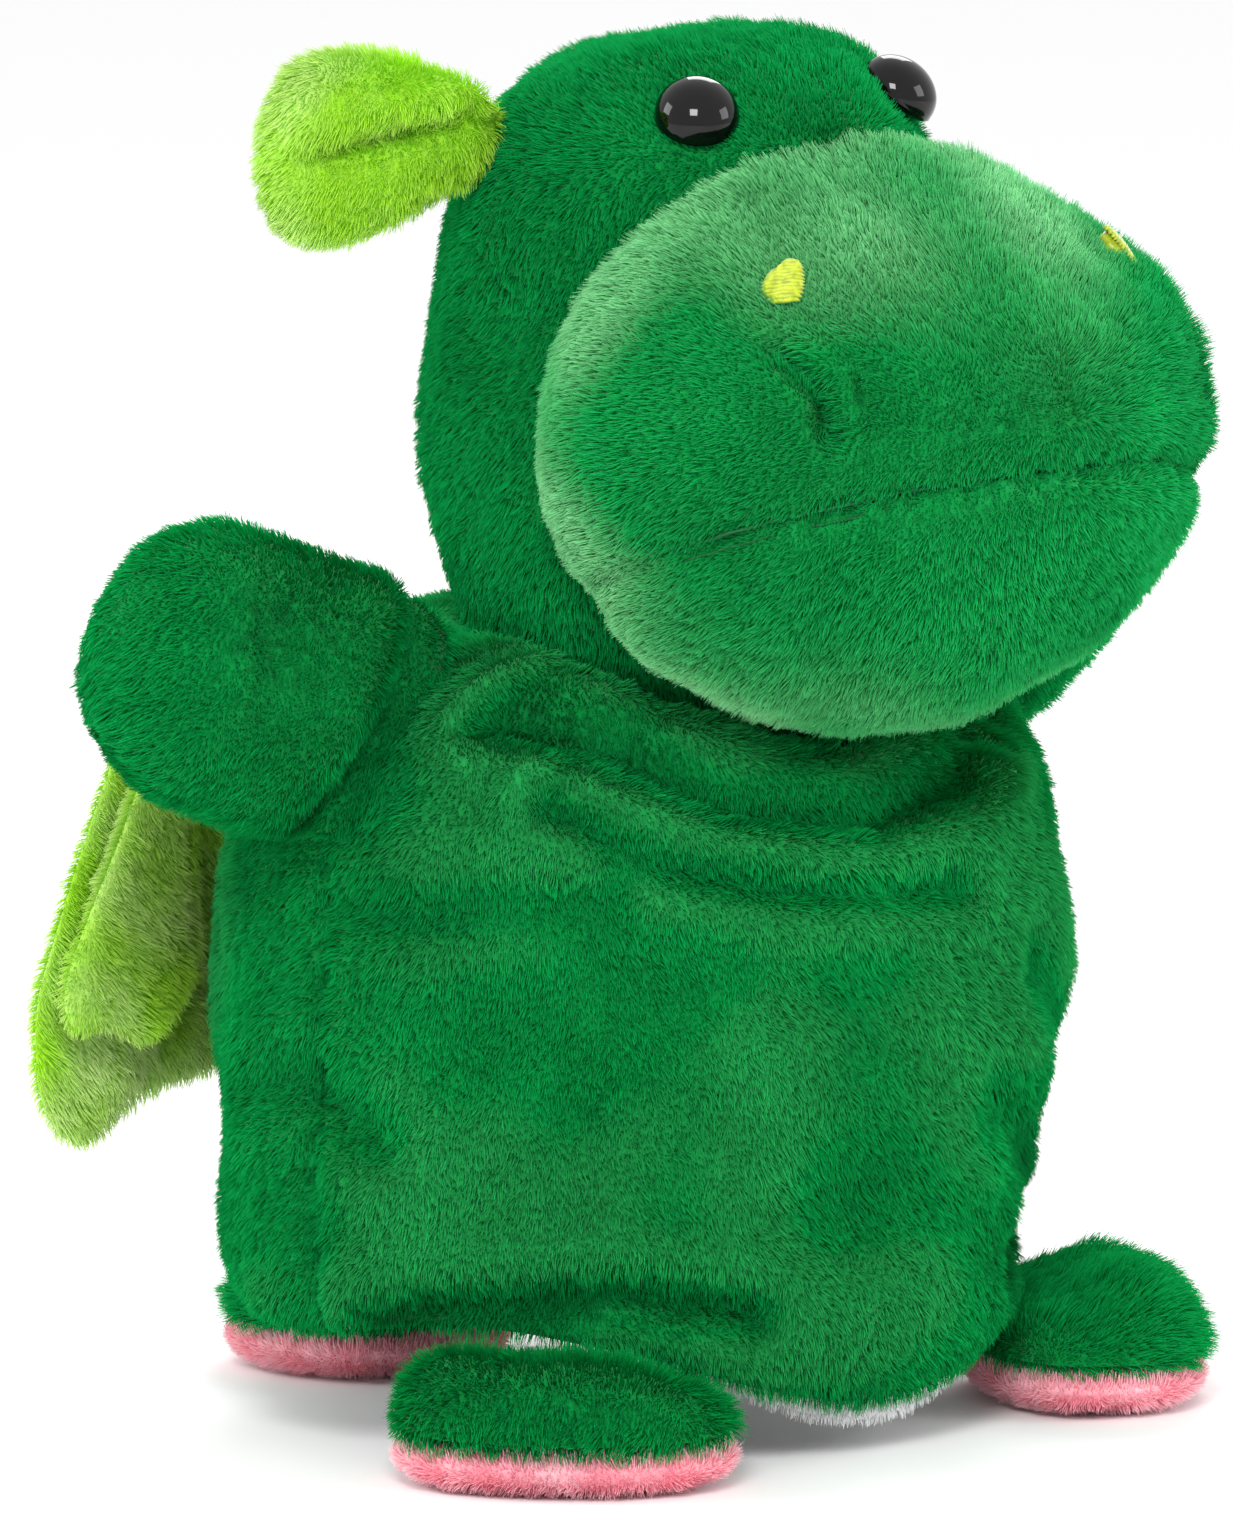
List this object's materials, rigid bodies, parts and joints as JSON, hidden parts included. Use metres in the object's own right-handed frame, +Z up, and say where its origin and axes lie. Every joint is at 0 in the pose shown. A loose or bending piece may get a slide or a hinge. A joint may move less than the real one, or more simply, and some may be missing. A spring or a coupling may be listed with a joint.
{
  "type": "moving mouth hand puppet",
  "caption": "Plush dragon hand puppet with a hand opening below, a hinged stuffed mouth, floppy ears, arms and wings, and padded feet to stand on.",
  "frame": {"origin": "bottom centre of the bounding box, on the surface that the puppet stands on", "axes": "+Z up, the face looks along -Y, the puppet's left side is +X"},
  "size_m": [0.249, 0.205, 0.251],
  "materials": {
    "green_plush": "short-pile plush, soft sheen",
    "deep_green_plush": "short-pile plush, soft sheen",
    "muzzle_plush": "short-pile plush, brushed lighter",
    "lime_plush": "short-pile plush",
    "pink_plush": "short-pile plush",
    "white_plush": "short-pile plush",
    "mouth_fabric": "plain woven fabric",
    "lining_fabric": "plain woven lining",
    "fibre_fill": "polyester fibre fill",
    "stiffener": "thin matte sheet",
    "eye_plastic": "polished",
    "washer_plastic": "moulded",
    "satin_thread": "shiny embroidery thread"
  },
  "bodies": {
    "torso": {"body_front_panel": "green_plush", "body_back_panel": "green_plush", "body_lining": "white_plush"},
    "neck": {"neck_lining": "lining_fabric"},
    "head": {"head_left_panel": "deep_green_plush", "head_right_panel": "deep_green_plush", "head_stuffing": "fibre_fill", "muzzle_cover": "muzzle_plush", "muzzle_stuffing": "fibre_fill", "finger_pocket": "lining_fabric", "palate_board": "stiffener", "mouth_roof_lining": "mouth_fabric", "eye_left": "eye_plastic", "eye_right": "eye_plastic", "eye_washer_left": "washer_plastic", "eye_washer_right": "washer_plastic", "nostril_left": "satin_thread", "nostril_right": "satin_thread"},
    "jaw": {"jaw_cover": "muzzle_plush", "jaw_stuffing": "fibre_fill", "thumb_pocket": "lining_fabric", "jaw_board": "stiffener", "mouth_floor_lining": "mouth_fabric"},
    "ear_left": {"ear_left_front": "lime_plush", "ear_left_back": "lime_plush", "ear_left_wadding": "fibre_fill"},
    "arm_left": {"arm_left_front": "green_plush", "arm_left_back": "green_plush", "arm_left_stuffing": "fibre_fill"},
    "wing_left": {"wing_left_front": "lime_plush", "wing_left_back": "lime_plush", "wing_left_wadding": "fibre_fill"},
    "foot_left": {"foot_left_top": "green_plush", "foot_left_sole": "pink_plush", "foot_left_wadding": "fibre_fill"},
    "ear_right": {"ear_right_front": "lime_plush", "ear_right_back": "lime_plush", "ear_right_wadding": "fibre_fill"},
    "arm_right": {"arm_right_front": "green_plush", "arm_right_back": "green_plush", "arm_right_stuffing": "fibre_fill"},
    "wing_right": {"wing_right_front": "lime_plush", "wing_right_back": "lime_plush", "wing_right_wadding": "fibre_fill"},
    "foot_right": {"foot_right_top": "green_plush", "foot_right_sole": "pink_plush", "foot_right_wadding": "fibre_fill"},
    "tail": {"tail_top": "green_plush", "tail_sole": "pink_plush", "tail_wadding": "fibre_fill"}
  },
  "joints": [
    {"name": "head_turn", "type": "hinge", "parent": "torso", "child": "neck", "pos_m": [0, 0, 0.13], "axis": [0, 0, 1], "range_deg": [-15, 15], "stiffness_Nm_per_rad": 0.3},
    {"name": "head_nod", "type": "hinge", "parent": "neck", "child": "head", "pos_m": [0, 0.025, 0.14], "axis": [-1, 0, 0], "range_deg": [0, 16], "stiffness_Nm_per_rad": 0.6},
    {"name": "jaw_open", "type": "hinge", "parent": "head", "child": "jaw", "pos_m": [0, -0.044, 0.161], "axis": [1, 0, 0], "range_deg": [0, 28], "stiffness_Nm_per_rad": 0.3},
    {"name": "ear_left_flop", "type": "hinge", "parent": "head", "child": "ear_left", "pos_m": [0.05, 0, 0.231], "axis": [0, 1, 0], "range_deg": [-40, 2], "stiffness_Nm_per_rad": 0.05},
    {"name": "arm_left_swing", "type": "hinge", "parent": "torso", "child": "arm_left", "pos_m": [0.075, 0.007, 0.134], "axis": [0, -1, 0], "range_deg": [-12, 20], "stiffness_Nm_per_rad": 0.1},
    {"name": "wing_left_flap", "type": "hinge", "parent": "torso", "child": "wing_left", "pos_m": [0.024, 0.08, 0.1], "axis": [0, 0, 1], "range_deg": [-4, 35], "stiffness_Nm_per_rad": 0.05},
    {"name": "foot_left_lift", "type": "hinge", "parent": "torso", "child": "foot_left", "pos_m": [0.051, -0.028, 0.003], "axis": [-0.5635, -0.8261, 0], "range_deg": [0, 10], "stiffness_Nm_per_rad": 0.25},
    {"name": "ear_right_flop", "type": "hinge", "parent": "head", "child": "ear_right", "pos_m": [-0.05, 0, 0.231], "axis": [0, -1, 0], "range_deg": [-15, 25], "stiffness_Nm_per_rad": 0.05},
    {"name": "arm_right_swing", "type": "hinge", "parent": "torso", "child": "arm_right", "pos_m": [-0.075, 0.007, 0.134], "axis": [0, 1, 0], "range_deg": [-12, 20], "stiffness_Nm_per_rad": 0.1},
    {"name": "wing_right_flap", "type": "hinge", "parent": "torso", "child": "wing_right", "pos_m": [-0.024, 0.08, 0.1], "axis": [0, 0, -1], "range_deg": [-4, 35], "stiffness_Nm_per_rad": 0.05},
    {"name": "foot_right_lift", "type": "hinge", "parent": "torso", "child": "foot_right", "pos_m": [-0.051, -0.028, 0.003], "axis": [-0.5635, 0.8261, 0], "range_deg": [0, 10], "stiffness_Nm_per_rad": 0.25},
    {"name": "tail_lift", "type": "hinge", "parent": "torso", "child": "tail", "pos_m": [0, 0.057, 0.003], "axis": [1, 0, 0], "range_deg": [0, 10], "stiffness_Nm_per_rad": 0.25}
  ]
}
